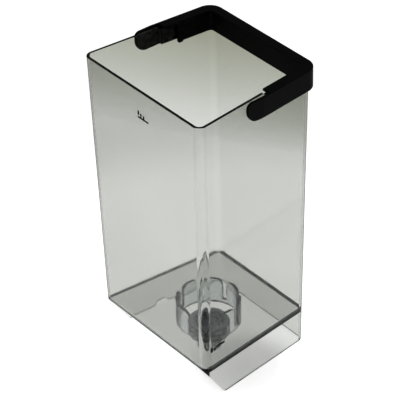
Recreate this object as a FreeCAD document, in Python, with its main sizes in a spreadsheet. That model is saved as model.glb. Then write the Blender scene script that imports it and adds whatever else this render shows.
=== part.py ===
import FreeCAD, Part
import Sketcher
import math
import os
from types import SimpleNamespace

# Removable clear water tank: a tapered open-topped reservoir with a folding carrying handle, a raised
# collar for a filter cartridge, a strainer well in its floor and a sprung valve in its outlet spigot.
#
# Frame: +Z up, X along the wide front wall, Y from the front wall (negative) to the back (positive).
# The origin is under the middle of the object, on the surface that its skirt stands on. Millimetres.

PARTS_FOLDER = "parts"
OVERCUT = 1.0          # how far a cutting profile runs past the face that it opens
SIDE_OVERCUT = 10.0    # how far a cut that opens a whole side runs past it
SAME = 0.01            # two places closer than this count as the same

# ---------------------------------------------------------------- driving dimensions
DIMENSIONS = {
    # tank walls: outer faces, given at the rim and leaning inwards towards the base
    "tank_height": 243.0,
    "front_width": 126.8,
    "tank_front": -56.3,
    "tank_back": 53.3,
    "side_converge": 0.093,
    "side_lean": 0.0171,
    "front_lean": 0.0166,
    "back_lean": 0.0092,
    "corner_round": 6.0,
    "wall": 2.2,
    "rim_round": 0.5,
    # floor, and the skirt below it, which is open towards the front
    "floor_under": 26.4,
    "floor_top": 29.0,
    "floor_round": 4.5,
    "inner_round": 2.6,
    "slope_top": 29.55,
    "skirt_run": 19.4,
    "skirt_tip_round": 5.0,
    "notch_centre": -2.0,
    "notch_half_width": 6.0,
    "notch_height": 4.0,
    "notch_round": 3.8,
    # rim cut down behind the handle's pivots
    "step_start": 5.0,
    "step_depth": 1.9,
    # outlet: strainer well, spigot and valve seat
    "outlet_x": 12.0,
    "outlet_y": -10.0,
    "well_radius": 12.5,
    "well_wall": 2.2,
    "well_floor": 17.0,
    "spigot_radius": 8.0,
    "spigot_end": 3.0,
    "spigot_chamfer": 0.6,
    "valve_bore": 5.4,
    "seat_radius": 3.2,
    "seat_top": 6.2,
    "seal_groove_low": 9.6,
    "seal_groove_width": 2.4,
    "seal_groove_depth": 1.3,
    "seal_section": 1.1,
    # cartridge collar
    "collar_radius": 23.2,
    "collar_bore": 21.0,
    "collar_height": 21.0,
    "collar_base": 3.4,
    "collar_slots": 8,
    "slot_half_width": 1.85,
    "collar_turn": 19.7,
    "finger_round": 4.6,
    "tongue_outer": 22.6,
    "tongue_inner": 21.6,
    "tongue_depth": 1.2,
    "seat_recess": 0.6,
    "collar_edge_round": 0.35,
    # strainer basket and the mesh held in a slot in its wall
    "basket_radius": 12.2,
    "basket_wall": 1.5,
    "basket_under": 18.6,
    "basket_floor_top": 20.0,
    "flange_radius": 13.4,
    "flange_under": 28.0,
    "flange_top": 28.9,
    "flange_gap": 0.2,
    "window_columns": 18,
    "window_half_width": 1.35,
    "window_height": 3.2,
    "window_pitch": 3.9,
    "window_low": 20.5,
    "drain_size": 2.5,
    "drain_pitch": 3.9,
    "drain_clear": 3.7,
    "drain_reach": 10.45,
    "hub_radius": 3.6,
    "hub_under": 15.4,
    "hub_top": 21.5,
    "hub_nose": 2.8,
    "guide_radius": 1.7,
    "mesh_thickness": 0.4,
    "mesh_gap": 0.08,
    "mesh_eye": 4.0,
    # outlet valve
    "stem_radius": 1.64,
    "stem_top": 22.0,
    "stem_chamfer": 0.4,
    "nose_radius": 1.9,
    "head_radius": 4.7,
    "head_under": 7.6,
    "head_top": 9.0,
    "plunger_end": 3.6,
    "pad_radius": 4.4,
    "pad_under": 6.25,
    "pad_bevel": 0.5,
    "coil_radius": 2.75,
    "coil_wire": 0.32,
    "coil_turns": 5.0,
    "coil_gap": 0.03,
    # carrying handle
    "pivot_y": -2.3,
    "pivot_z": 235.3,
    "pivot_radius": 3.0,
    "pivot_reach": 61.0,
    "boss_radius": 5.5,
    "boss_reach": 59.6,
    "socket_gap": 0.08,
    "socket_reach": 61.3,
    "handle_low": 226.9,
    "handle_high": 243.4,
    "handle_back": 56.3,
    "arm_outer": 61.9,
    "arm_inner": 59.9,
    "arm_end": -12.6,
    "arm_bend": 2.0,
    "arm_converge": 0.092,
    "web_start": 8.7,
    "web_under": 241.5,
    "lip_start": 20.0,
    "lip_thickness": 1.6,
    "outer_gap": 1.0,
    "back_gap": 0.9,
    "inner_gap": 0.8,
    "inner_back_gap": 1.2,
    "channel_step": 8.0,
    "handle_corner_round": 11.0,
    "lip_corner_round": 3.0,
    "lip_inner_round": 2.5,
    "end_round_low": 10.0,
    "end_round_high": 5.0,
    "edge_round": 0.6,
    "catch_start": 20.5,
    "catch_end": 24.0,
    "catch_drop": 0.8,
    "catch_root": 0.5,
}


class Size:
    """A dimension: its value in millimetres and the spreadsheet formula that it comes from."""

    def __init__(self, value, text):
        self.value = value
        self.text = text

    def formula(self, sign, other, value):
        other_text = other.text if isinstance(other, Size) else repr(float(other))
        return Size(value, "(%s %s %s)" % (self.text, sign, other_text))

    def __add__(self, other):
        return self.formula("+", other, self.value + number(other))

    def __sub__(self, other):
        return self.formula("-", other, self.value - number(other))

    def __mul__(self, other):
        return self.formula("*", other, self.value * number(other))

    def __truediv__(self, other):
        return self.formula("/", other, self.value / number(other))

    def __neg__(self):
        return Size(-self.value, "(-1 * %s)" % self.text)


def number(length):
    return length.value if isinstance(length, Size) else float(length)


def bind(thing, path, length):
    """Drive a property or a sketch constraint from the spreadsheet."""
    if isinstance(length, Size):
        thing.setExpression(path, length.text)


document = FreeCAD.newDocument("water_tank")
sheet = document.addObject("Spreadsheet::Sheet", "Sizes")
for row, (name, value) in enumerate(DIMENSIONS.items(), start=1):
    sheet.set("A%d" % row, name)
    sheet.set("B%d" % row, str(value))
    sheet.setAlias("B%d" % row, name)
document.recompute()
size = SimpleNamespace(**{name: Size(value, "Sizes." + name) for name, value in DIMENSIONS.items()})


# ---------------------------------------------------------------- sketches
def new_body(name):
    body = document.addObject("PartDesign::Body", name)
    body.Label = name
    return body


def origin_item(body, role):
    return [item for item in body.Origin.OriginFeatures if item.Role == role][0]


def new_sketch(body, name, plane, height=0.0):
    """An empty sketch on one of the body's origin planes, lifted along the sketch's normal."""
    sketch = body.newObject("Sketcher::SketchObject", name)
    sketch.AttachmentSupport = [(origin_item(body, plane), "")]
    sketch.MapMode = "FlatFace"
    sketch.AttachmentOffset = FreeCAD.Placement(FreeCAD.Vector(0, 0, number(height)), FreeCAD.Rotation())
    bind(sketch, "AttachmentOffset.Base.z", height)
    return sketch


def dimension(sketch, kind, items, length):
    index = sketch.addConstraint(Sketcher.Constraint(kind, *items, number(length)))
    bind(sketch, "Constraints[%d]" % index, length)


def pin(sketch, shape, end, x, y):
    """Fix one point of a sketch shape at x, y from the sketch's origin."""
    for kind, axis, length in (("DistanceX", -2, x), ("DistanceY", -1, y)):
        if isinstance(length, Size) or length:
            dimension(sketch, kind, (-1, 1, shape, end), length)
        else:
            sketch.addConstraint(Sketcher.Constraint("PointOnObject", shape, end, axis))


def flat(point):
    return FreeCAD.Vector(number(point[0]), number(point[1]), 0)


def corner_arc(before, corner, after, radius):
    """Start, middle and end of the arc that rounds a corner between two neighbours."""
    back = (before - corner).normalize()
    ahead = (after - corner).normalize()
    half_turn = back.getAngle(ahead) / 2
    reach = radius / math.tan(half_turn)
    middle = (back + ahead).normalize() * (radius / math.sin(half_turn) - radius)
    return corner + back * reach, corner + middle, corner + ahead * reach


def draw_arc(sketch, start, middle, end):
    """Add an arc; gives its index, and the number of the end it is entered by and left by."""
    anticlockwise = (middle - start).cross(end - middle).z > 0
    if anticlockwise:
        return sketch.addGeometry(Part.Arc(start, middle, end)), 1, 2
    return sketch.addGeometry(Part.Arc(end, middle, start)), 2, 1


def outline(sketch, corners, rounds=None):
    """A closed outline through the corners; rounds gives the radius of each rounded corner."""
    rounds = rounds or {}
    points = [flat(corner) for corner in corners]
    count = len(points)
    arcs = {place: corner_arc(points[place - 1], points[place], points[(place + 1) % count], number(radius))
            for place, radius in rounds.items()}
    starts = [arcs[place][2] if place in arcs else points[place] for place in range(count)]
    ends = [arcs[place][0] if place in arcs else points[place] for place in range(count)]
    sides = [sketch.addGeometry(Part.LineSegment(starts[place], ends[(place + 1) % count]))
             for place in range(count)]
    for place, (x, y) in enumerate(corners):
        before, after = sides[place - 1], sides[place]
        if place not in arcs:
            sketch.addConstraint(Sketcher.Constraint("Coincident", before, 2, after, 1))
            pin(sketch, after, 1, x, y)
            continue
        arc, enter, leave = draw_arc(sketch, *arcs[place])
        sketch.addConstraint(Sketcher.Constraint("Tangent", before, 2, arc, enter))
        sketch.addConstraint(Sketcher.Constraint("Tangent", after, 1, arc, leave))
        dimension(sketch, "Radius", (arc,), rounds[place])
        peak = sketch.addGeometry(Part.Point(points[place]), True)
        pin(sketch, peak, 1, x, y)
        sketch.addConstraint(Sketcher.Constraint("PointOnObject", peak, 1, before))
        sketch.addConstraint(Sketcher.Constraint("PointOnObject", peak, 1, after))


def circle(sketch, radius, x=0.0, y=0.0):
    ring = sketch.addGeometry(Part.Circle(flat((x, y)), FreeCAD.Vector(0, 0, 1), number(radius)))
    pin(sketch, ring, 3, x, y)
    dimension(sketch, "Radius", (ring,), radius)


def box_corners(low_x, low_y, high_x, high_y):
    return [(low_x, low_y), (high_x, low_y), (high_x, high_y), (low_x, high_y)]


# ---------------------------------------------------------------- features
def extrude(body, kind, sketch, length, symmetric=False, backwards=False):
    """A pad or pocket of a sketch; a symmetric one runs half its length to each side."""
    feature = body.newObject("PartDesign::" + kind, sketch.Name + "_" + kind.lower())
    feature.Profile = sketch
    feature.Length = number(length)
    bind(feature, "Length", length)
    feature.SideType = "Symmetric" if symmetric else "One side"
    feature.Reversed = backwards
    document.recompute()
    return feature


def turn(body, kind, sketch):
    """A full revolution or groove of a sketch about its vertical axis."""
    feature = body.newObject("PartDesign::" + kind, sketch.Name + "_" + kind.lower())
    feature.Profile = sketch
    feature.ReferenceAxis = (sketch, ["V_Axis"])
    feature.Angle = 360.0
    document.recompute()
    return feature


def loft(body, kind, low, high):
    """A straight-sided additive or subtractive loft between two sketches."""
    feature = body.newObject("PartDesign::%sLoft" % kind, low.Name + "_loft")
    feature.Profile = low
    feature.Sections = [high]
    feature.Ruled = True
    document.recompute()
    return feature


def round_edges(body, name, radius, wanted):
    """A fillet on every edge of the body so far whose middle passes the wanted test."""
    base = body.Tip
    names = ["Edge%d" % place for place, edge in enumerate(base.Shape.Edges, start=1)
             if wanted(edge.valueAt((edge.FirstParameter + edge.LastParameter) / 2))]
    feature = body.newObject("PartDesign::Fillet", name)
    feature.Base = (base, names)
    feature.Radius = number(radius)
    bind(feature, "Radius", radius)
    document.recompute()
    return feature


def repeat_round(body, cut, count):
    """Repeat a cut at equal angles about the body's vertical axis."""
    pattern = body.newObject("PartDesign::PolarPattern", cut.Name + "_ring")
    pattern.Originals = [cut]
    pattern.Axis = (origin_item(body, "Z_Axis"), [""])
    pattern.Angle = 360.0
    pattern.Occurrences = int(number(count))
    bind(pattern, "Occurrences", count)
    body.Tip = pattern
    document.recompute()


def set_on_outlet(body, angle=None):
    """Move a body that is modelled about its own origin onto the outlet's axis."""
    body.Placement = FreeCAD.Placement(
        FreeCAD.Vector(number(size.outlet_x), number(size.outlet_y), 0),
        FreeCAD.Rotation(FreeCAD.Vector(0, 0, 1), number(angle or 0)))
    bind(body, "Placement.Base.x", size.outlet_x)
    bind(body, "Placement.Base.y", size.outlet_y)
    if angle:
        bind(body, "Placement.Rotation.Angle", angle)


def turned_piece(name, profile, rounds=None):
    """A body turned from a radius-and-height profile, standing on the outlet's axis."""
    body = new_body(name)
    sketch = new_sketch(body, name + "_profile", "XZ_Plane")
    outline(sketch, profile, rounds)
    turn(body, "Revolution", sketch)
    set_on_outlet(body)
    return body


# ---------------------------------------------------------------- tank
def drop(height):
    """How far a level lies below the rim."""
    return size.tank_height - height


def side_at(y, height, inset):
    """Half-width of the tank at a depth and a level, inset from its outer face."""
    return (size.front_width / 2 - (y - size.tank_front) * size.side_converge
            - drop(height) * size.side_lean - inset)


def front_at(height, inset):
    return size.tank_front + drop(height) * size.front_lean + inset


def back_at(height, inset):
    return size.tank_back - drop(height) * size.back_lean - inset


def tank_section(body, name, height, inset, front=None):
    """The tank's round-cornered trapezoid plan at a level, in a sketch of its own."""
    sketch = new_sketch(body, name, "XY_Plane", height)
    front = front_at(height, inset) if front is None else front
    back = back_at(height, inset)
    wide, narrow = side_at(front, height, inset), side_at(back, height, inset)
    rounds = {corner: size.corner_round - inset for corner in range(4)}
    outline(sketch, [(-wide, front), (wide, front), (narrow, back), (-narrow, back)], rounds)
    return sketch


def make_tank():
    body = new_body("tank_body")
    top = size.tank_height
    base = tank_section(body, "base_outline", 0.0, 0.0)
    loft(body, "Additive", base, tank_section(body, "rim_outline", top, 0.0))

    # bosses and studs that carry the handle stand on the side walls
    for name, radius, reach in (("boss", size.boss_radius, size.boss_reach),
                                ("stud", size.pivot_radius, size.pivot_reach)):
        sketch = new_sketch(body, name, "YZ_Plane")
        circle(sketch, radius, size.pivot_y, size.pivot_z)
        extrude(body, "Pad", sketch, reach * 2, symmetric=True)

    # the water space
    cavity_low = tank_section(body, "cavity_floor", size.floor_top, size.wall)
    loft(body, "Subtractive", cavity_low, tank_section(body, "cavity_mouth", top + OVERCUT, size.wall))
    floor_level = number(size.floor_top)
    round_edges(body, "floor_corners", size.inner_round,
                lambda middle: abs(middle.z - floor_level) < SAME)

    # the space under the floor, open at the front
    open_front = size.tank_front - SIDE_OVERCUT
    under_low = tank_section(body, "under_low", -OVERCUT, size.wall, open_front)
    under_high = tank_section(body, "under_high", size.floor_under, size.wall, open_front)
    loft(body, "Subtractive", under_low, under_high)
    make_skirt_ends(body)
    make_outlet(body)
    make_rim_step(body)
    return body


def make_skirt_ends(body):
    """The foot cut back along a slope from a rounded front edge, and a notch in the left skirt."""
    slope = new_sketch(body, "skirt_slope", "YZ_Plane")
    bend = front_at(size.slope_top, 0.0)
    past_foot = bend + size.skirt_run * (size.slope_top + OVERCUT) / size.slope_top
    far = size.tank_front - SIDE_OVERCUT
    high = size.slope_top + SIDE_OVERCUT
    outline(slope, [(far, high), (front_at(high, 0.0), high), (bend, size.slope_top),
                    (past_foot, -OVERCUT), (far, -OVERCUT)], {2: size.floor_round})
    extrude(body, "Pocket", slope, size.front_width * 2, symmetric=True)
    tips = number(bend + size.skirt_run)
    round_edges(body, "skirt_tips", size.skirt_tip_round,
                lambda middle: abs(middle.z) < SAME and abs(middle.y - tips) < SAME)

    notch = new_sketch(body, "skirt_notch", "YZ_Plane")
    low, high = size.notch_centre - size.notch_half_width, size.notch_centre + size.notch_half_width
    outline(notch, [(low, -OVERCUT), (high, -OVERCUT), (high, size.notch_height), (low, size.notch_height)],
            {2: size.notch_round, 3: size.notch_round})
    extrude(body, "Pocket", notch, size.front_width)


def make_outlet(body):
    """Strainer well and spigot hung under the floor, then bored out, with a seat for the valve."""
    well_outer = size.well_radius + size.well_wall
    well_under = size.well_floor - size.well_wall
    shell = new_sketch(body, "outlet_shell", "XZ_Plane", -size.outlet_y)
    axis = size.outlet_x
    outer = [(0, size.spigot_end),
             (size.spigot_radius - size.spigot_chamfer, size.spigot_end),
             (size.spigot_radius, size.spigot_end + size.spigot_chamfer),
             (size.spigot_radius, well_under),
             (well_outer, well_under),
             (well_outer, size.floor_under + OVERCUT),
             (0, size.floor_under + OVERCUT)]
    outline_about(shell, axis, outer, {4: size.well_wall})
    turn_about(body, "Revolution", shell, axis)

    bore = new_sketch(body, "outlet_bore", "XZ_Plane", -size.outlet_y)
    inner = [(0, size.spigot_end - OVERCUT),
             (size.seat_radius, size.spigot_end - OVERCUT),
             (size.seat_radius, size.seat_top),
             (size.valve_bore, size.seat_top),
             (size.valve_bore, size.well_floor),
             (size.well_radius, size.well_floor),
             (size.well_radius, size.flange_under),
             (size.flange_radius + size.flange_gap, size.flange_under),
             (size.flange_radius + size.flange_gap, size.floor_top + OVERCUT),
             (0, size.floor_top + OVERCUT)]
    outline_about(bore, axis, inner)
    turn_about(body, "Groove", bore, axis)

    ring_groove = new_sketch(body, "seal_groove", "XZ_Plane", -size.outlet_y)
    outline_about(ring_groove, axis, box_corners(
        size.spigot_radius - size.seal_groove_depth, size.seal_groove_low,
        size.spigot_radius + OVERCUT, size.seal_groove_low + size.seal_groove_width))
    turn_about(body, "Groove", ring_groove, axis)

    # the collar's tongue sits in the rim of a shallow round recess
    recess = new_sketch(body, "collar_seat", "XZ_Plane", -size.outlet_y)
    recess_floor = size.floor_top - size.seat_recess
    outline_about(recess, axis, [
        (0, recess_floor), (size.tongue_inner, recess_floor),
        (size.tongue_inner, size.floor_top - size.tongue_depth),
        (size.tongue_outer, size.floor_top - size.tongue_depth),
        (size.tongue_outer, size.floor_top + OVERCUT), (0, size.floor_top + OVERCUT)])
    turn_about(body, "Groove", recess, axis)


def outline_about(sketch, axis, profile, rounds=None):
    """A radius-and-height profile drawn to the right of an upright axis."""
    outline(sketch, [(axis + radius, height) for radius, height in profile], rounds)


def turn_about(body, kind, sketch, axis):
    """A full revolution or groove of a sketch about an upright construction line of its own."""
    line = sketch.addGeometry(Part.LineSegment(flat((axis, 0)), flat((axis, size.tank_height))), True)
    sketch.addConstraint(Sketcher.Constraint("Vertical", line))
    pin(sketch, line, 1, axis, 0)
    dimension(sketch, "Distance", (line,), size.tank_height)
    feature = body.newObject("PartDesign::" + kind, sketch.Name + "_" + kind.lower())
    feature.Profile = sketch
    feature.ReferenceAxis = (sketch, ["Axis0"])
    feature.Angle = 360.0
    document.recompute()
    return feature


def make_rim_step(body):
    """The rim drops behind the pivots, so that the folded handle lies flush with it."""
    step = new_sketch(body, "rim_step", "YZ_Plane")
    top = size.tank_height
    low = top - size.step_depth
    outline(step, [(size.step_start, top), (size.step_start + size.step_depth, low),
                   (size.tank_back + SIDE_OVERCUT, low), (size.tank_back + SIDE_OVERCUT, top + OVERCUT),
                   (size.step_start, top + OVERCUT)])
    extrude(body, "Pocket", step, size.front_width * 2, symmetric=True)
    round_edges(body, "rim_edges", size.rim_round, lambda middle: middle.z > number(low) - SAME)


# ---------------------------------------------------------------- handle
def wall_at(y):
    """Half-width of the tank's rim at a depth."""
    return size.front_width / 2 - (y - size.tank_front) * size.side_converge


def both_sides(half):
    """A closed plan from its right half, listed from the middle of the back to the middle again."""
    return half + [(-x, y) for x, y in reversed(half)]


def make_handle():
    body = new_body("handle")
    lip_back = size.tank_back - size.wall - size.inner_back_gap
    lip_inset = size.wall + size.inner_gap
    outer_back = size.arm_outer - (size.handle_back - size.arm_bend) * size.arm_converge
    inner_back = lip_back - size.lip_thickness
    outer_half = [(outer_back, size.handle_back), (size.arm_outer, size.arm_bend),
                  (size.arm_outer, size.arm_end), (size.arm_inner, size.arm_end),
                  (size.arm_inner, size.web_start),
                  (wall_at(size.web_start) - lip_inset - size.lip_thickness, size.web_start),
                  (wall_at(inner_back) - lip_inset - size.lip_thickness, inner_back)]
    plan = new_sketch(body, "handle_plan", "XY_Plane", size.handle_low)
    last = 2 * len(outer_half) - 1
    outline(plan, both_sides(outer_half),
            {0: size.handle_corner_round, last: size.handle_corner_round,
             len(outer_half) - 1: size.lip_inner_round, len(outer_half): size.lip_inner_round})
    extrude(body, "Pad", plan, size.handle_high - size.handle_low)

    arm_tip = number(size.arm_end)
    ends = ((number(size.handle_low), size.end_round_low), (number(size.handle_high), size.end_round_high))
    for place, (level, radius) in enumerate(ends):
        round_edges(body, "arm_ends_%d" % place, radius, lambda middle, level=level:
                    abs(middle.y - arm_tip) < SAME and abs(middle.z - level) < SAME)
    round_edges(body, "outline_edges", size.edge_round, lambda middle: any(
        abs(middle.z - level) < SAME and middle.y > arm_tip + number(radius) + SAME
        for level, radius in ends))

    # the channel that straddles the tank's wall, cut from below and leaving the web on top
    channel_back = size.tank_back + size.back_gap
    channel_front = size.web_start - OVERCUT
    clear_x = wall_at(size.web_start) - size.channel_step
    channel_half = [(wall_at(channel_back) + size.outer_gap, channel_back),
                    (wall_at(channel_front) + size.outer_gap, channel_front),
                    (clear_x, channel_front), (clear_x, size.lip_start),
                    (wall_at(size.lip_start) - lip_inset, size.lip_start),
                    (wall_at(lip_back) - lip_inset, lip_back)]
    channel = new_sketch(body, "handle_channel", "XY_Plane", size.handle_low)
    last = 2 * len(channel_half) - 1
    outline(channel, both_sides(channel_half),
            {0: size.corner_round + size.outer_gap, last: size.corner_round + size.outer_gap,
             len(channel_half) - 1: size.lip_corner_round, len(channel_half): size.lip_corner_round})
    extrude(body, "Pocket", channel, size.web_under - size.handle_low, backwards=True)

    # small catches under the front of the lips
    lip_inner = lip_inset + size.lip_thickness
    for side, sign in (("right", 1), ("left", -1)):
        catch = new_sketch(body, "catch_" + side, "XY_Plane", size.handle_low - size.catch_drop)
        start, end = size.catch_start, size.catch_end
        corners = [(start, lip_inner), (start, lip_inset), (end, lip_inset), (end, lip_inner)]
        outline(catch, [((wall_at(y) - inset) * sign, y) for y, inset in corners])
        extrude(body, "Pad", catch, size.catch_drop + size.catch_root)

    # blind sockets for the tank's studs
    socket = new_sketch(body, "socket", "YZ_Plane")
    circle(socket, size.pivot_radius + size.socket_gap, size.pivot_y, size.pivot_z)
    extrude(body, "Pocket", socket, size.socket_reach * 2, symmetric=True)
    return body


# ---------------------------------------------------------------- cartridge collar
def make_collar():
    top = size.floor_top + size.collar_height
    body = turned_piece("cartridge_collar", [
        (size.collar_bore, size.floor_top), (size.tongue_inner, size.floor_top),
        (size.tongue_inner, size.floor_top - size.tongue_depth),
        (size.tongue_outer, size.floor_top - size.tongue_depth),
        (size.tongue_outer, size.floor_top), (size.collar_radius, size.floor_top),
        (size.collar_radius, top), (size.collar_bore, top)])
    slot = new_sketch(body, "finger_gap", "XZ_Plane")
    half = size.slot_half_width
    shoulder = half + size.finger_round
    low = size.floor_top + size.collar_base
    bend = top - size.finger_round
    finger_gap(slot, half, shoulder, low, bend, top)
    cut = extrude(body, "Pocket", slot, size.collar_radius + OVERCUT)
    repeat_round(body, cut, size.collar_slots)
    finger_foot = number(low)
    round_edges(body, "finger_edges", size.collar_edge_round,
                lambda middle: middle.z > finger_foot - SAME)
    set_on_outlet(body, size.collar_turn)
    return body


def finger_gap(sketch, half, shoulder, low, bend, top):
    """An upright slot that flares at its mouth, which leaves the fingers beside it round-topped."""
    corners = [(-half, low), (half, low), (half, bend), (shoulder, top), (shoulder, top + OVERCUT),
               (-shoulder, top + OVERCUT), (-shoulder, top), (-half, bend)]
    flare_sides = {2: 1, 6: -1}
    sides = []
    for place, corner in enumerate(corners):
        start, end = flat(corner), flat(corners[(place + 1) % len(corners)])
        if place in flare_sides:
            sign = flare_sides[place]
            upwards = FreeCAD.Vector(-sign, 1, 0).normalize()
            middle = flat((shoulder * sign, bend)) + upwards * number(top - bend)
            sides.append(draw_arc(sketch, start, middle, end))
        else:
            sides.append((sketch.addGeometry(Part.LineSegment(start, end)), 1, 2))
    for place, (x, y) in enumerate(corners):
        before, _, leave = sides[place - 1]
        after, enter, _ = sides[place]
        sketch.addConstraint(Sketcher.Constraint("Coincident", before, leave, after, enter))
        pin(sketch, after, enter, x, y)
    for place in flare_sides:
        dimension(sketch, "Radius", (sides[place][0],), top - bend)


# ---------------------------------------------------------------- strainer
def make_basket():
    """A flanged cup with windows in its wall and floor, and a hub that guides the valve's stem."""
    inner = size.basket_radius - size.basket_wall
    body = turned_piece("strainer_basket", [
        (size.guide_radius, size.hub_under), (size.hub_radius, size.hub_under),
        (size.hub_radius, size.basket_under), (size.basket_radius, size.basket_under),
        (size.basket_radius, size.flange_under), (size.flange_radius, size.flange_under),
        (size.flange_radius, size.flange_top), (inner, size.flange_top),
        (inner, size.basket_floor_top), (size.hub_nose, size.basket_floor_top),
        (size.hub_nose, size.hub_top), (size.guide_radius, size.hub_top)])
    mesh_slot = new_sketch(body, "mesh_slot", "XZ_Plane")
    outline(mesh_slot, box_corners(
        mesh_inner() - size.mesh_gap, size.basket_under - OVERCUT,
        mesh_inner() + size.mesh_thickness + size.mesh_gap, size.flange_under))
    turn(body, "Groove", mesh_slot)
    windows = new_sketch(body, "windows", "XZ_Plane")
    half = size.window_half_width
    for level in (size.window_low, size.window_low + size.window_pitch):
        outline(windows, box_corners(-half, level, half, level + size.window_height))
    cut = extrude(body, "Pocket", windows, size.flange_radius + OVERCUT)
    repeat_round(body, cut, size.window_columns)
    drains = new_sketch(body, "drains", "XY_Plane", size.basket_under - OVERCUT)
    grid = range(-2, 3)
    for column in grid:
        for row in grid:
            if drain_fits(column, row):
                x, y = size.drain_pitch * column, size.drain_pitch * row
                half = size.drain_size / 2
                outline(drains, box_corners(x - half, y - half, x + half, y + half))
    extrude(body, "Pocket", drains, size.basket_floor_top - size.basket_under + OVERCUT * 2,
            backwards=True)
    return body


def drain_fits(column, row):
    """Whether a square hole of the strainer's floor grid clears both the hub and the cage wall."""
    half = number(size.drain_size) / 2
    centre = [abs(place) * number(size.drain_pitch) for place in (column, row)]
    nearest = math.hypot(*[max(place - half, 0) for place in centre])
    furthest = math.hypot(*[place + half for place in centre])
    return nearest > number(size.drain_clear) and furthest < number(size.drain_reach)


def mesh_inner():
    """Inner radius of the mesh tube, which stands in the middle of the basket's wall."""
    return size.basket_radius - (size.basket_wall + size.mesh_thickness) / 2


def make_mesh():
    """Fine mesh inside the basket's wall and under its floor."""
    inner, thick = mesh_inner(), size.mesh_thickness
    high = size.basket_under - size.mesh_gap
    top = size.flange_under - size.mesh_gap
    return turned_piece("strainer_mesh", [
        (size.mesh_eye, high - thick), (inner + thick, high - thick), (inner + thick, top), (inner, top),
        (inner, high), (size.mesh_eye, high)])


# ---------------------------------------------------------------- valve
def make_plunger():
    trim = size.stem_chamfer
    return turned_piece("valve_plunger", [
        (0, size.plunger_end), (size.nose_radius - trim, size.plunger_end),
        (size.nose_radius, size.plunger_end + trim), (size.nose_radius, size.head_under),
        (size.head_radius, size.head_under), (size.head_radius, size.head_top),
        (size.stem_radius, size.head_top), (size.stem_radius, size.stem_top - trim),
        (size.stem_radius - trim, size.stem_top), (0, size.stem_top)])


def make_seal_pad():
    return turned_piece("plunger_seal", [
        (size.nose_radius, size.pad_under + size.pad_bevel),
        (size.nose_radius + size.pad_bevel, size.pad_under),
        (size.pad_radius, size.pad_under), (size.pad_radius, size.head_under),
        (size.nose_radius, size.head_under)])


def make_spring():
    body = new_body("valve_spring")
    wire = new_sketch(body, "wire", "XZ_Plane")
    low = size.head_top + size.coil_wire + size.coil_gap
    high = size.hub_under - size.coil_wire - size.coil_gap
    circle(wire, size.coil_wire, size.coil_radius, low)
    coil = body.newObject("PartDesign::AdditiveHelix", "coil")
    coil.Profile = wire
    coil.ReferenceAxis = (wire, ["V_Axis"])
    coil.Mode = "height-turns-angle"
    coil.Height = number(high - low)
    bind(coil, "Height", high - low)
    coil.Turns = number(size.coil_turns)
    bind(coil, "Turns", size.coil_turns)
    document.recompute()
    set_on_outlet(body)
    return body


def make_o_ring():
    body = new_body("spigot_o_ring")
    section = new_sketch(body, "section", "XZ_Plane")
    circle(section, size.seal_section, size.spigot_radius - size.seal_groove_depth + size.seal_section,
           size.seal_groove_low + size.seal_groove_width / 2)
    turn(body, "Revolution", section)
    set_on_outlet(body)
    return body


# ---------------------------------------------------------------- build, check and write
pieces = [make_tank(), make_handle(), make_collar(), make_basket(), make_mesh(),
          make_plunger(), make_seal_pad(), make_spring(), make_o_ring()]
document.recompute()

for thing in document.Objects:
    if {"Invalid", "Error"} & set(thing.State):
        raise RuntimeError("%s did not build: %s" % (thing.Label, thing.State))
os.makedirs(PARTS_FOLDER, exist_ok=True)
for piece in pieces:
    if piece.Shape.isNull() or not piece.Shape.isValid() or not piece.Shape.Solids:
        raise RuntimeError("%s has no valid solid" % piece.Label)
for piece in pieces:
    piece.Shape.exportStep(os.path.join(PARTS_FOLDER, piece.Label + ".step"))
    print("%-18s %9.1f mm3, %d solid" % (piece.Label, piece.Shape.Volume, len(piece.Shape.Solids)))
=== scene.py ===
import math

import bmesh
import bpy
from mathutils import Matrix, Vector


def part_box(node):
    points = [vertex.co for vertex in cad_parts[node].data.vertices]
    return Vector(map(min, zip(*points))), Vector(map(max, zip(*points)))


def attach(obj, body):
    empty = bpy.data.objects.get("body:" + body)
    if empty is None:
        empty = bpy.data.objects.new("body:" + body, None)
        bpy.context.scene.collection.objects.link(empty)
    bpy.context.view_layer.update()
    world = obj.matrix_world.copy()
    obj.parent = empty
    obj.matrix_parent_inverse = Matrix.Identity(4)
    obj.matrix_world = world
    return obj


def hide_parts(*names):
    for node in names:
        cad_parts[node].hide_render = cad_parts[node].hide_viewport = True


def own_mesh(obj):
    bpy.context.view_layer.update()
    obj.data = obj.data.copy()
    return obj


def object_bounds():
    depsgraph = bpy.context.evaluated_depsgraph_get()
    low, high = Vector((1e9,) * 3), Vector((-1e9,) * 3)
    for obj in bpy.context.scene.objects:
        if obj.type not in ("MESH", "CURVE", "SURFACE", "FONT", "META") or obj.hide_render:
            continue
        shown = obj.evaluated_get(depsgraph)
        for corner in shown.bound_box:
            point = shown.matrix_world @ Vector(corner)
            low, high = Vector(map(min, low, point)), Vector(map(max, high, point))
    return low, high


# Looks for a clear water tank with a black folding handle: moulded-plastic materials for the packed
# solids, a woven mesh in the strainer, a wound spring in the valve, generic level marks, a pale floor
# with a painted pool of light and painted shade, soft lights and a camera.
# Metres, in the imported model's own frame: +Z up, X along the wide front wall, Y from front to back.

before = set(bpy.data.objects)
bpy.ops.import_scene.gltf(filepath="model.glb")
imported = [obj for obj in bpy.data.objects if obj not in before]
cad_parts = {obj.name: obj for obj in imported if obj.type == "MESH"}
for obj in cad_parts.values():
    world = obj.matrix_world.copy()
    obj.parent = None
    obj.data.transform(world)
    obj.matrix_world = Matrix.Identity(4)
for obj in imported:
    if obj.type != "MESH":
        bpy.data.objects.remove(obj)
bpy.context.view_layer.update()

MM = 0.001
TANK_BODY = "tank"

# ---------------------------------------------------------------- material helpers


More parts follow.
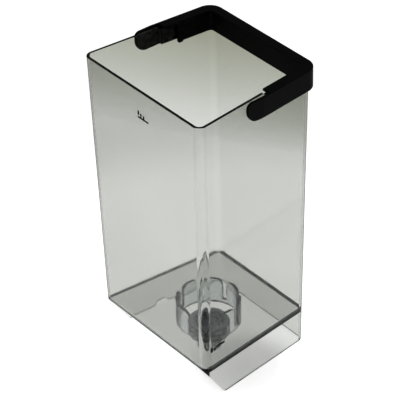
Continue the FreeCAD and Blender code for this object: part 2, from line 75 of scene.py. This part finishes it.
def new_material(name, color, roughness, **inputs):
    """A material with one Principled shader; inputs are more of its sockets, set to constants."""
    material = bpy.data.materials.new(name)
    material.use_nodes = True
    shader = material.node_tree.nodes["Principled BSDF"]
    shader.inputs["Base Color"].default_value = (*color, 1.0)
    shader.inputs["Roughness"].default_value = roughness
    for socket, value in inputs.items():
        shader.inputs[socket.replace("_", " ")].default_value = value
    return material, shader


def add_node(material, kind, **settings):
    """A node of a material's tree; settings that name an input are set on that input."""
    node = material.node_tree.nodes.new("ShaderNode" + kind)
    for name, value in settings.items():
        socket = node.inputs.get(name.replace("_", " "))
        if socket is None:
            setattr(node, name, value)
        else:
            socket.default_value = value
    return node


def link(material, source, target):
    material.node_tree.links.new(source, target)


def object_noise(material, scale, detail, stretch=(1.0, 1.0, 1.0)):
    """Noise in the object's own metres, so that it doesn't depend on how the mesh is unwrapped."""
    place = add_node(material, "TexCoord")
    mapping = add_node(material, "Mapping", Scale=stretch)
    noise = add_node(material, "TexNoise", Scale=scale, Detail=detail)
    link(material, place.outputs["Object"], mapping.inputs["Vector"])
    link(material, mapping.outputs["Vector"], noise.inputs["Vector"])
    return noise.outputs["Fac"]


def spread(material, factor, low, high):
    """Noise spread over a range of plain values."""
    scaled = add_node(material, "MapRange", From_Min=0.3, From_Max=0.7, To_Min=low, To_Max=high)
    link(material, factor, scaled.inputs["Value"])
    return scaled.outputs["Result"]


def color_ramp(material, factor, stops, interpolation="LINEAR"):
    """Colour looked up from a factor; stops are (position, colour), in rising order."""
    ramp = add_node(material, "ValToRGB")
    ramp.color_ramp.interpolation = interpolation
    for position, _ in stops[1:-1]:
        ramp.color_ramp.elements.new(position)
    for element, (position, color) in zip(ramp.color_ramp.elements, stops):
        element.position = position
        element.color = (*color, 1.0)
    link(material, factor, ramp.inputs["Fac"])
    return ramp.outputs["Color"]


def vary_color(material, shader, factor, low, high):
    """Base colour that wanders between two colours."""
    color = color_ramp(material, factor, [(0.35, low), (0.65, high)])
    link(material, color, shader.inputs["Base Color"])


def add_bump(material, shader, heights, distance):
    """Surface relief from one or more height fields, each with its own strength."""
    normal = None
    for height, strength in heights:
        bump = add_node(material, "Bump", Strength=strength, Distance=distance)
        link(material, height, bump.inputs["Height"])
        if normal:
            link(material, normal, bump.inputs["Normal"])
        normal = bump.outputs["Normal"]
    link(material, normal, shader.inputs["Normal"])


def color_socket(sockets, name):
    """The Mix node's socket of that name that carries a colour."""
    return [socket for socket in sockets if socket.name == name and socket.type == "RGBA"][0]


# ---------------------------------------------------------------- clear plastic
PAINTED_SHADE_WAY = (-0.35, 0.6, 1.0)     # painted shade: the tank's plastic is tinted darker this way, up and towards the back left
PAINTED_SHADE_RANGE = (0.18, 0.28)        # metres along that way over which the painted shade sets in
EDGE_START = 0.52                 # Facing value at which the painted dark edge starts, seen edge on
EDGE_END = 0.74                   # Facing value from which it is darkest
# colour of the painted dark edge, painted shade where plastic is seen edge on
PAINTED_EDGE_SHADE = (0.03, 0.034, 0.03)
WHITE = (1.0, 1.0, 1.0)


def painted_shade_ramp(material, low, high):
    """Painted shade: colour that shifts steadily from the plain tint at the foot to the shaded tint at the
    rim, also towards the back left.
    """
    place = add_node(material, "TexCoord")
    uphill = add_node(material, "VectorMath", operation="DOT_PRODUCT")
    uphill.inputs[1].default_value = PAINTED_SHADE_WAY
    rise = add_node(material, "MapRange", From_Min=PAINTED_SHADE_RANGE[0], From_Max=PAINTED_SHADE_RANGE[1])
    link(material, place.outputs["Object"], uphill.inputs[0])
    link(material, uphill.outputs["Value"], rise.inputs["Value"])
    return color_ramp(material, rise.outputs["Result"], [(0.0, low), (1.0, high)])


def painted_dark_edge(material):
    """Painted dark edges: plastic seen nearly edge on is darkened, partly for the longer way light crosses
    in it and partly as painted shade for the dark surroundings refracted there.
    """
    weight = add_node(material, "LayerWeight", Blend=0.5)
    return color_ramp(material, weight.outputs["Facing"], [(EDGE_START, WHITE), (EDGE_END, PAINTED_EDGE_SHADE)])


def clear_plastic(name, tint, shaded_tint, depth_color, density):
    """Clear moulded plastic: faint flow ripples in its gloss, darker the further light goes in it, with
    painted shade towards the rim and the back left and painted dark edges where it is seen edge on.
    """
    material, shader = new_material(name, tint, 0.03, Transmission_Weight=1.0, IOR=1.50,
                                    Specular_Tint=(0.1, 0.1, 0.1, 1.0))
    # painted shade: the tint darkens towards the rim and the back left
    painted_shade = painted_shade_ramp(material, tint, shaded_tint)
    # painted dark edges where the plastic is seen nearly edge on
    edge = painted_dark_edge(material)
    mix = add_node(material, "Mix", data_type="RGBA", blend_type="MULTIPLY")
    mix.inputs["Factor"].default_value = 1.0
    link(material, painted_shade, color_socket(mix.inputs, "A"))
    link(material, edge, color_socket(mix.inputs, "B"))
    link(material, color_socket(mix.outputs, "Result"), shader.inputs["Base Color"])
    ripple = object_noise(material, scale=14.0, detail=1.5, stretch=(1.0, 1.0, 0.35))
    haze = object_noise(material, scale=160.0, detail=5.0)
    link(material, spread(material, haze, low=0.015, high=0.07), shader.inputs["Roughness"])
    add_bump(material, shader, [(ripple, 0.10), (haze, 0.01)], distance=0.002)
    absorb = add_node(material, "VolumeAbsorption", Color=(*depth_color, 1.0), Density=density)
    output = material.node_tree.nodes["Material Output"]
    link(material, absorb.outputs["Volume"], output.inputs["Volume"])
    return material


# ---------------------------------------------------------------- opaque materials


def moulded_plastic(name, low, high, roughness, grain, relief, shine=0.2):
    """Opaque moulded plastic with a fine spark-eroded grain and uneven sheen."""
    material, shader = new_material(name, low, roughness, IOR=1.5, Specular_IOR_Level=shine)
    cloud = object_noise(material, scale=60.0, detail=6.0)
    fine = object_noise(material, scale=grain, detail=2.0)
    vary_color(material, shader, cloud, low, high)
    sheen = spread(material, cloud, low=roughness - 0.08, high=roughness + 0.10)
    link(material, sheen, shader.inputs["Roughness"])
    add_bump(material, shader, [(fine, relief), (cloud, 0.05)], distance=0.0004)
    return material


def silicone():
    """Pale, slightly milky seal rubber."""
    material, shader = new_material("seal_silicone", (0.6, 0.61, 0.6), 0.6, IOR=1.42)
    cloud = object_noise(material, scale=300.0, detail=5.0)
    vary_color(material, shader, cloud, low=(0.50, 0.51, 0.50), high=(0.62, 0.63, 0.61))
    link(material, spread(material, cloud, low=0.55, high=0.85), shader.inputs["Roughness"])
    add_bump(material, shader, [(cloud, 0.3)], distance=0.0002)
    return material


def drawn_wire(name, low, high):
    """Steel wire with streaks across its length."""
    material, shader = new_material(name, low, 0.3, Metallic=1.0)
    streaks = object_noise(material, scale=900.0, detail=3.0, stretch=(1.0, 1.0, 6.0))
    vary_color(material, shader, streaks, low, high)
    link(material, spread(material, streaks, low=0.18, high=0.42), shader.inputs["Roughness"])
    add_bump(material, shader, [(streaks, 0.15)], distance=0.0001)
    return material


MATERIALS = {
    # The tank's shaded tint paints shade towards its rim; the collar's shaded tint is its plain tint.
    "tank_body": clear_plastic("clear_tank", tint=WHITE, shaded_tint=(0.47, 0.485, 0.385),
                               depth_color=(0.47, 0.482, 0.45), density=280.0),
    "cartridge_collar": clear_plastic("clear_collar", tint=(0.95, 0.97, 0.975),
                                      shaded_tint=(0.95, 0.97, 0.975),
                                      depth_color=(0.60, 0.64, 0.65), density=240.0),
    "handle": moulded_plastic("black_satin", low=(0.0022, 0.0022, 0.0025), high=(0.005, 0.005, 0.0054),
                              roughness=0.45, grain=2600.0, relief=0.25, shine=0.03),
    "strainer_basket": moulded_plastic("strainer_plastic", low=(0.54, 0.58, 0.64),
                                       high=(0.64, 0.68, 0.74), roughness=0.45, grain=2200.0, relief=0.2),
    "strainer_mesh": moulded_plastic("mesh_nylon", low=(0.001, 0.001, 0.0015), high=(0.003, 0.003, 0.004),
                                     roughness=0.6, grain=9000.0, relief=0.1, shine=0.0),
    "valve_plunger": moulded_plastic("valve_plastic", low=(0.55, 0.55, 0.53), high=(0.66, 0.66, 0.64),
                                     roughness=0.4, grain=2200.0, relief=0.15),
    "valve_spring": drawn_wire("spring_wire", low=(0.50, 0.50, 0.51), high=(0.68, 0.68, 0.69)),
}
MATERIALS["plunger_seal"] = MATERIALS["spigot_o_ring"] = silicone()


def dress(piece, material):
    """Gives a piece one material in place of any that it had."""
    piece.data.materials.clear()
    piece.data.materials.append(material)


for node, material in MATERIALS.items():
    dress(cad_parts[node], material)


def new_piece(name, data, material, body):
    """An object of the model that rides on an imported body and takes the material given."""
    piece = bpy.data.objects.new(name, data)
    bpy.context.scene.collection.objects.link(piece)
    dress(piece, material)
    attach(piece, body)
    return piece


def mesh_data(name, mesh):
    """Turns a bmesh, which is freed, into mesh data of that name."""
    data = bpy.data.meshes.new(name)
    mesh.to_mesh(data)
    mesh.free()
    return data


# ---------------------------------------------------------------- woven mesh of the strainer
THREAD = 0.16 * MM        # radius of one thread
LIFT = 0.04 * MM          # how far a thread bends over and under the ones it crosses
WEAVE_PITCH = 0.48 * MM   # spacing of the threads
EYE = 4.0 * MM            # radius of the hole in the middle of the mesh's floor


def add_thread(curve, points, closed=False):
    spline = curve.splines.new("POLY")
    spline.points.add(len(points) - 1)
    for point, place in zip(spline.points, points):
        point.co = (*place, 1.0)
    spline.use_cyclic_u = closed


def weave_side(curve, centre, radius, low, high):
    """Upright threads and level hoops round a cylinder, each passing over and under the others."""
    uprights = 2 * round(math.pi * radius / WEAVE_PITCH)
    hoops = round((high - low) / WEAVE_PITCH)

    def at(turn, rise, lift):
        """A point on the cylinder, in half pitches round and up it, and metres off it."""
        angle = math.pi * turn / uprights
        out = radius + lift
        return (centre.x + out * math.cos(angle), centre.y + out * math.sin(angle),
                low + (high - low) * rise / (2 * hoops))

    for hoop in range(hoops + 1):
        sign = LIFT * (-1) ** hoop
        add_thread(curve, [at(turn, 2 * hoop, sign * math.cos(math.pi * turn / 2))
                           for turn in range(2 * uprights)], closed=True)
    for upright in range(uprights):
        sign = -LIFT * (-1) ** upright
        add_thread(curve, [at(2 * upright, rise, sign * math.cos(math.pi * rise / 2))
                           for rise in range(2 * hoops + 1)])


def weave_floor(curve, centre, inner, outer, level):
    """Crossed straight threads over a ring, split where they meet the hole in its middle."""
    lines = int(outer / WEAVE_PITCH)
    for line in range(-lines, lines + 1):
        across = line * WEAVE_PITCH
        end = math.sqrt(outer ** 2 - across ** 2)
        start = math.sqrt(max(inner ** 2 - across ** 2, 0.0))
        for direction in (1, -1):
            steps = max(2 * round((end - start) / WEAVE_PITCH), 1)
            along = [direction * (start + (end - start) * step / steps) for step in range(steps + 1)]
            lift = [LIFT * (-1) ** line * math.cos(math.pi * run / WEAVE_PITCH) for run in along]
            add_thread(curve, [(centre.x + run, centre.y + across, level + rise)
                               for run, rise in zip(along, lift)])
            add_thread(curve, [(centre.x + across, centre.y + run, level - rise)
                               for run, rise in zip(along, lift)])


def make_woven_mesh():
    """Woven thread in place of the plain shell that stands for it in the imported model."""
    low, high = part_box("strainer_mesh")
    centre = (low + high) / 2
    proud = THREAD + LIFT
    radius = (high.x - low.x) / 2 - proud
    curve = bpy.data.curves.new("woven_mesh", "CURVE")
    curve.dimensions = "3D"
    curve.bevel_depth = THREAD
    curve.bevel_resolution = 0
    floor_level = low.z + proud
    weave_side(curve, centre, radius, floor_level, high.z - proud)
    weave_floor(curve, centre, EYE, radius, floor_level)
    mesh = new_piece("woven_mesh", curve, MATERIALS["strainer_mesh"], TANK_BODY)
    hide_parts("strainer_mesh")


make_woven_mesh()

# ---------------------------------------------------------------- spring of the valve
COIL_WIRE = 0.32 * MM     # radius of the spring's wire
COIL_TURNS = 5
COIL_STEPS = 40           # rings of the mesh in one turn
COIL_SIDES = 10           # sides of the wire's section


def add_ring(mesh, middle, out):
    """The wire's round section about a point, in the plane of +Z and the direction out."""
    angles = [2 * math.pi * side / COIL_SIDES for side in range(COIL_SIDES)]
    return [mesh.verts.new(middle + out * (COIL_WIRE * math.cos(angle))
                           + Vector((0.0, 0.0, COIL_WIRE * math.sin(angle)))) for angle in angles]


def make_spring():
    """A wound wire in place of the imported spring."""
    low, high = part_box("valve_spring")
    centre = (low + high) / 2
    radius = (high.x - low.x) / 2 - COIL_WIRE
    rise = high.z - low.z - 2 * COIL_WIRE
    mesh = bmesh.new()
    rings = []
    for step in range(COIL_TURNS * COIL_STEPS + 1):
        turn = 2 * math.pi * step / COIL_STEPS
        out = Vector((math.cos(turn), math.sin(turn), 0.0))
        level = low.z + COIL_WIRE + rise * step / (COIL_TURNS * COIL_STEPS)
        rings.append(add_ring(mesh, Vector((centre.x, centre.y, level)) + out * radius, out))
    for before, after in zip(rings, rings[1:]):
        for side in range(COIL_SIDES):
            beside = (side + 1) % COIL_SIDES
            mesh.faces.new((before[side], before[beside], after[beside], after[side]))
    mesh.faces.new(rings[0])
    mesh.faces.new(reversed(rings[-1]))
    bmesh.ops.recalc_face_normals(mesh, faces=mesh.faces)
    data = mesh_data("valve_coil", mesh)
    data.shade_smooth()
    coil = new_piece("valve_coil", data, MATERIALS["valve_spring"], TANK_BODY)
    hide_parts("valve_spring")
    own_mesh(coil)


make_spring()

# ---------------------------------------------------------------- printed level marks
INK_DEPTH = 0.08 * MM               # how far a printed mark stands off the wall
FULL_SIGHT = (0.003, -0.2, 0.2235)  # in front of the tank, level with the mark of a full tank
FILL_SIGHT = (0.2, -0.0405, 0.0472)  # to the right of the tank, level with the mark of the least fill
INTO_FRONT = (0, 1, 0)
INTO_RIGHT = (-1, 0, 0)


def wall_place(start, direction):
    """Where a line from outside meets the tank's wall, as a matrix: X along the wall, Z outwards."""
    hit, place, normal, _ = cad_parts["tank_body"].ray_cast(Vector(start), Vector(direction))
    if not hit:
        raise RuntimeError("no wall is met from %s" % (start,))
    along = Vector((0.0, 0.0, 1.0)).cross(normal).normalized()
    axes = Matrix((along, normal.cross(along), normal)).transposed()
    return Matrix.Translation(place) @ axes.to_4x4()


def add_plate(mesh, place, corners):
    """A thin closed plate with the outline given by its corners, in metres along and up the wall."""
    low, high = ([mesh.verts.new(place @ Vector((x, y, depth))) for x, y in corners]
                 for depth in (0.0, INK_DEPTH))
    mesh.faces.new(high)
    mesh.faces.new(reversed(low))
    for index in range(len(corners)):
        after = (index + 1) % len(corners)
        mesh.faces.new((low[index], low[after], high[after], high[index]))


def bar(left, right, bottom, top):
    """Corners of an upright oblong, given in millimetres."""
    corners = [(left, bottom), (right, bottom), (right, top), (left, top)]
    return [(x * MM, y * MM) for x, y in corners]


def make_mark(name, place, plates):
    """A generic level mark: plain bars, with no lettering."""
    mesh = bmesh.new()
    for corners in plates:
        add_plate(mesh, place, corners)
    ink = moulded_plastic(name + "_ink", low=(0.006, 0.006, 0.006), high=(0.02, 0.019, 0.018),
                          roughness=0.6, grain=3000.0, relief=0.1, shine=0.05)
    new_piece(name, mesh_data(name, mesh), ink, TANK_BODY)


FULL_MARK = [bar(-6.0, -4.4, -0.7, 3.0), bar(-3.2, -1.8, -1.6, 1.6), bar(-0.4, 1.2, -1.6, 1.0),
             bar(-6.0, 5.5, -3.0, -1.6)]
FILL_MARK = [bar(-7.0, -4.6, -2.2, 2.2), bar(-3.4, -1.8, -2.2, 0.8), bar(-0.6, 7.2, -0.4, 1.6)]
make_mark("full_mark", wall_place(FULL_SIGHT, INTO_FRONT), FULL_MARK)
make_mark("fill_mark", wall_place(FILL_SIGHT, INTO_RIGHT), FILL_MARK)

# ---------------------------------------------------------------- floor
FLOOR_HALF = 4.0
FLOOR_GAP = 0.5 * MM      # how far the floor lies below the model
POOL_CENTRE = (0.045, -0.005, 0.0)
POOL_REACH = 0.44
# The floor's painted glow as (distance from the centre, level): painted shade under the right-hand skirt,
# then a painted pool of light round the tank, dimmer further out.
PAINTED_LIGHT_AND_SHADE = [(0.0, 0.60), (0.022, 0.64), (0.05, 0.98), (0.24, 0.88), (0.335, 0.58), (POOL_REACH, 0.54)]


def light_pool(material, shader):
    """Painted floor glow: a painted pool of light round the tank, with painted shade under its right-hand
    skirt, in place of studio light falling on the floor.
    """
    place = add_node(material, "TexCoord")
    distance = add_node(material, "VectorMath", operation="DISTANCE")
    distance.inputs[1].default_value = POOL_CENTRE
    reach = add_node(material, "MapRange", From_Max=POOL_REACH)
    link(material, place.outputs["Object"], distance.inputs[0])
    link(material, distance.outputs["Value"], reach.inputs["Value"])
    stops = [(radius / POOL_REACH, (level,) * 3) for radius, level in PAINTED_LIGHT_AND_SHADE]
    # painted light and shade: the floor glows brightest round the tank and dims under its right-hand skirt
    painted_glow = color_ramp(material, reach.outputs["Result"], stops, interpolation="EASE")
    link(material, painted_glow, shader.inputs["Emission Color"])
    shader.inputs["Emission Strength"].default_value = 1.0


def make_floor():
    floor_mesh = bpy.data.meshes.new("floor")
    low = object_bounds()[0].z - FLOOR_GAP
    corners = [(-FLOOR_HALF, -FLOOR_HALF, low), (FLOOR_HALF, -FLOOR_HALF, low),
               (FLOOR_HALF, FLOOR_HALF, low), (-FLOOR_HALF, FLOOR_HALF, low)]
    floor_mesh.from_pydata(corners, [], [(0, 1, 2, 3)])
    floor = bpy.data.objects.new("floor", floor_mesh)
    bpy.context.scene.collection.objects.link(floor)
    material, shader = new_material("pale_floor", (0.93, 0.93, 0.93), 0.9)
    light_pool(material, shader)
    dress(floor, material)


# ---------------------------------------------------------------- lights and camera
SKY_COLOR = (0.93, 0.95, 0.93, 1.0)
SKY_STRENGTH = 0.38
VIEW_GAMMA = 0.85

AZIMUTH = 51.17           # degrees from the front towards the right
ELEVATION = 35.89
ROLL = -1.52              # degrees about the camera's own axis
DISTANCE = 1.5915
TARGET = (-0.00639, -0.00070, 0.12234)
LENS = 198.0              # millimetres, on a sensor SENSOR millimetres wide
SENSOR = 36.0


def make_world():
    world = bpy.data.worlds.new("studio")
    world.use_nodes = True
    background = world.node_tree.nodes["Background"]
    background.inputs["Color"].default_value = SKY_COLOR
    background.inputs["Strength"].default_value = SKY_STRENGTH
    bpy.context.scene.world = world


def soft_light(name, place, target, width, power):
    """A square area light that faces the target."""
    light = bpy.data.lights.new(name, "AREA")
    light.shape = "SQUARE"
    light.size = width
    light.energy = power
    lamp = bpy.data.objects.new(name, light)
    bpy.context.scene.collection.objects.link(lamp)
    lamp.location = place
    lamp.rotation_mode = "QUATERNION"
    lamp.rotation_quaternion = (Vector(target) - Vector(place)).to_track_quat("-Z", "Y")


def make_camera():
    """A long lens above the front right corner, turned slightly about its own axis."""
    azimuth, elevation, roll = (math.radians(angle) for angle in (AZIMUTH, ELEVATION, ROLL))
    back = Vector((math.sin(azimuth) * math.cos(elevation), -math.cos(azimuth) * math.cos(elevation),
                   math.sin(elevation)))
    data = bpy.data.cameras.new("camera")
    data.sensor_width = SENSOR
    data.lens = LENS
    data.clip_start = 0.05
    data.clip_end = 50.0
    camera = bpy.data.objects.new("camera", data)
    bpy.context.scene.collection.objects.link(camera)
    level = (-back).to_track_quat("-Z", "Y").to_matrix()
    turned = level @ Matrix.Rotation(roll, 3, "Z")
    camera.matrix_world = Matrix.Translation(Vector(TARGET) + back * DISTANCE) @ turned.to_4x4()
    bpy.context.scene.camera = camera


make_floor()
make_world()
soft_light("overhead", place=(0.1, 0.1, 1.6), target=(0, 0, 0.1), width=1.4, power=5.0)
soft_light("key", place=(-1.2, -0.9, 1.0), target=(0, 0, 0.12), width=0.9, power=2.5)
soft_light("fill", place=(1.3, -0.4, 0.7), target=(0, 0, 0.12), width=0.8, power=1.5)
make_camera()
bpy.context.scene.view_settings.view_transform = "Standard"
bpy.context.scene.view_settings.gamma = VIEW_GAMMA
